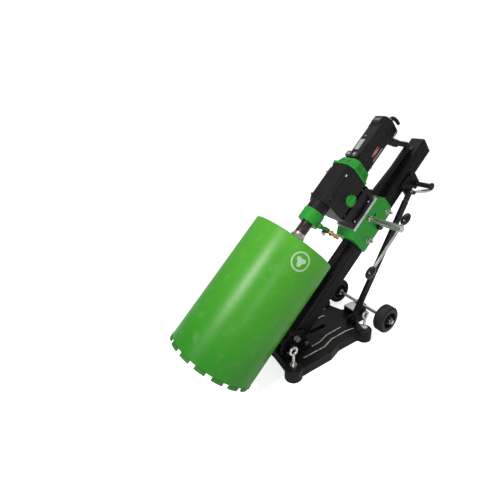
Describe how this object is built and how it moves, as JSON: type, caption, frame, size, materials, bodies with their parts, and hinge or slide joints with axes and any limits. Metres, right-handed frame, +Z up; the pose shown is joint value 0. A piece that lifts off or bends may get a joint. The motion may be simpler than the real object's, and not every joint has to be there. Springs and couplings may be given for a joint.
{
  "type": "core drill rig",
  "caption": "Rig for drilling large cores: a leaning racked column on a wheeled base carries a geared motor and wide core bit, fed by a hand-turned cross bar.",
  "frame": {"origin": "on the floor, midway between the four feet, in the front half of the deck's anchor slot", "axes": "+X to the rig's right (the feed handle's side), +Y to its rear (the wheels' side), +Z up"},
  "size_m": [0.3125, 0.9293, 0.6939],
  "materials": {
    "cast_black": "powder coated, satin",
    "rig_green": "powder coated, satin",
    "bit_green": "sprayed, satin",
    "column_black": "anodised",
    "zinc": "zinc plated",
    "steel": "turned",
    "bright_aluminium": "machined",
    "dark_steel": "black oxide",
    "rubber": "moulded",
    "hub_black": "moulded",
    "case_black": "moulded, satin",
    "gear_case": "painted, satin",
    "switch_grey": "moulded",
    "button_white": "moulded",
    "knob_black": "moulded",
    "sleeve_rubber": "moulded",
    "brass": "turned",
    "copper_steel": "wound",
    "carbon": "pressed",
    "bronze": "machined",
    "segment": "sintered"
  },
  "bodies": {
    "base": {"base_casting": "cast_black", "base_nuts": "zinc", "pivot_bracket": "cast_black", "pivot_bolts": "dark_steel", "block_plate": "bright_aluminium", "wheel_axle": "steel"},
    "screw_front_right": {"levelling_screw_front_right": "zinc"},
    "screw_front_left": {"levelling_screw_front_left": "zinc"},
    "screw_rear_right": {"levelling_screw_rear_right": "zinc"},
    "screw_rear_left": {"levelling_screw_rear_left": "zinc"},
    "wheel_right": {"tyre_right": "rubber", "rim_right": "hub_black"},
    "wheel_left": {"tyre_left": "rubber", "rim_left": "hub_black"},
    "column": {"column_tube": "column_black", "column_cap": "case_black", "feed_rack": "steel", "column_shoe": "cast_black", "lock_bolt": "zinc", "strut_bracket": "cast_black", "transport_grip": "case_black"},
    "strut": {"strut_tube": "cast_black"},
    "strut_top": {"strut_slider": "cast_black", "strut_top_bolt": "dark_steel"},
    "lever": {"clamp_lever": "bright_aluminium"},
    "carriage": {"carriage_housing": "rig_green", "guide_pads": "bronze", "carriage_bolts": "zinc", "mounting_plate": "bright_aluminium", "gearbox_housing": "gear_case", "gearbox_nose": "gear_case", "vent_band": "rig_green", "bearing_plates": "bright_aluminium", "motor_housing": "case_black", "motor_cap": "case_black", "control_panel": "case_black", "cable_sleeve": "sleeve_rubber", "rear_handle": "case_black", "stator": "steel", "carbon_brushes": "carbon", "drill_bearings": "steel", "water_swivel": "rig_green", "water_valve": "brass"},
    "lock_knob": {"carriage_lock": "knob_black"},
    "feed_pinion": {"feed_shaft": "steel", "feed_sleeve": "zinc"},
    "feed_handle": {"feed_bar": "zinc", "feed_bar_knobs": "knob_black"},
    "selector": {"gear_selector": "rig_green"},
    "rocker": {"rocker_switch": "switch_grey"},
    "button_left": {"panel_button_left": "button_white"},
    "button_right": {"panel_button_right": "button_white"},
    "water_lever": {"valve_lever": "knob_black"},
    "spindle": {"drill_spindle": "dark_steel", "spindle_gear": "steel", "hex_adaptor": "steel", "core_bit_tube": "bit_green", "bit_segments": "segment"},
    "countershaft": {"layshaft": "steel"},
    "motor_armature": {"armature": "copper_steel"}
  },
  "joints": [
    {"name": "screw_front_right_turn", "type": "hinge", "parent": "base", "child": "screw_front_right", "pos_m": [0.102, -0.146, 0.05], "axis": [0, 0, 1], "continuous": true},
    {"name": "screw_rear_right_turn", "type": "hinge", "parent": "base", "child": "screw_rear_right", "pos_m": [0.102, 0.146, 0.05], "axis": [0, 0, 1], "continuous": true},
    {"name": "wheel_right_spin", "type": "hinge", "parent": "base", "child": "wheel_right", "pos_m": [0.1185, 0.2334, 0.0514], "axis": [1, 0, 0], "continuous": true},
    {"name": "screw_front_left_turn", "type": "hinge", "parent": "base", "child": "screw_front_left", "pos_m": [-0.102, -0.146, 0.05], "axis": [0, 0, 1], "continuous": true},
    {"name": "screw_rear_left_turn", "type": "hinge", "parent": "base", "child": "screw_rear_left", "pos_m": [-0.102, 0.146, 0.05], "axis": [0, 0, 1], "continuous": true},
    {"name": "wheel_left_spin", "type": "hinge", "parent": "base", "child": "wheel_left", "pos_m": [-0.1185, 0.2334, 0.0514], "axis": [1, 0, 0], "continuous": true},
    {"name": "column_tilt", "type": "hinge", "parent": "base", "child": "column", "pos_m": [0, -0.109, 0.052], "axis": [1, 0, 0], "range_deg": [0, 45]},
    {"name": "strut_swing", "type": "hinge", "parent": "base", "child": "strut", "pos_m": [0.045, 0.152, 0.04], "axis": [1, 0, 0], "range_deg": [0, 47]},
    {"name": "strut_extend", "type": "slide", "parent": "strut", "child": "strut_top", "axis": [0, 0.4822, 0.876], "range_m": [0, 0.205]},
    {"name": "lever_clamp", "type": "hinge", "parent": "strut_top", "child": "lever", "pos_m": [0.057, 0.381, 0.456], "axis": [1, 0, 0], "range_deg": [-70, 0]},
    {"name": "carriage_feed", "type": "slide", "parent": "column", "child": "carriage", "axis": [0, 0.7071, 0.7071], "range_m": [-0.28, 0.06]},
    {"name": "feed_turn", "type": "hinge", "parent": "carriage", "child": "feed_pinion", "pos_m": [0, 0.19618, 0.39575], "axis": [1, 0, 0], "range_deg": [-215, 990]},
    {"name": "feed_bar_slide", "type": "slide", "parent": "feed_pinion", "child": "feed_handle", "axis": [0, 0.7071, 0.7071], "range_m": [0, 0.12]},
    {"name": "lock_turn", "type": "hinge", "parent": "carriage", "child": "lock_knob", "pos_m": [0.045, 0.24384, 0.36223], "axis": [1, 0, 0], "range_deg": [0, 270]},
    {"name": "selector_turn", "type": "hinge", "parent": "carriage", "child": "selector", "pos_m": [0.046, 0.09818, 0.46971], "axis": [1, 0, 0], "range_deg": [-35, 35]},
    {"name": "rocker_tip", "type": "hinge", "parent": "carriage", "child": "rocker", "pos_m": [0, 0.23854, 0.6829], "axis": [1, 0, 0], "range_deg": [0, 12]},
    {"name": "button_left_press", "type": "slide", "parent": "carriage", "child": "button_left", "axis": [0, 0.7071, -0.7071], "range_m": [0, 0.0015], "stiffness_N_per_m": 900, "springref_m": -0.001},
    {"name": "button_right_press", "type": "slide", "parent": "carriage", "child": "button_right", "axis": [0, 0.7071, -0.7071], "range_m": [0, 0.0015], "stiffness_N_per_m": 900, "springref_m": -0.001},
    {"name": "water_lever_turn", "type": "hinge", "parent": "carriage", "child": "water_lever", "pos_m": [0.0448, 0.00102, 0.3915], "axis": [0, 0.7071, 0.7071], "range_deg": [0, 90]},
    {"name": "spindle_spin", "type": "hinge", "parent": "carriage", "child": "spindle", "pos_m": [0, 0.00413, 0.44213], "axis": [0, 0.7071, 0.7071], "continuous": true},
    {"name": "countershaft_spin", "type": "hinge", "parent": "carriage", "child": "countershaft", "pos_m": [0.01638, 0.08935, 0.49833], "axis": [0, 0.7071, 0.7071], "continuous": true},
    {"name": "armature_spin", "type": "hinge", "parent": "carriage", "child": "motor_armature", "pos_m": [0, 0.16818, 0.56093], "axis": [0, 0.7071, 0.7071], "continuous": true}
  ],
  "couplings": [
    {"joint": "strut_swing", "follows": "column_tilt", "ratio": 1.0243},
    {"joint": "strut_extend", "follows": "column_tilt", "m_per_rad": 0.2543},
    {"joint": "feed_turn", "follows": "carriage_feed", "rad_per_m": -61.538},
    {"joint": "countershaft_spin", "follows": "spindle_spin", "ratio": -2.8182},
    {"joint": "armature_spin", "follows": "spindle_spin", "ratio": 9.7071}
  ]
}
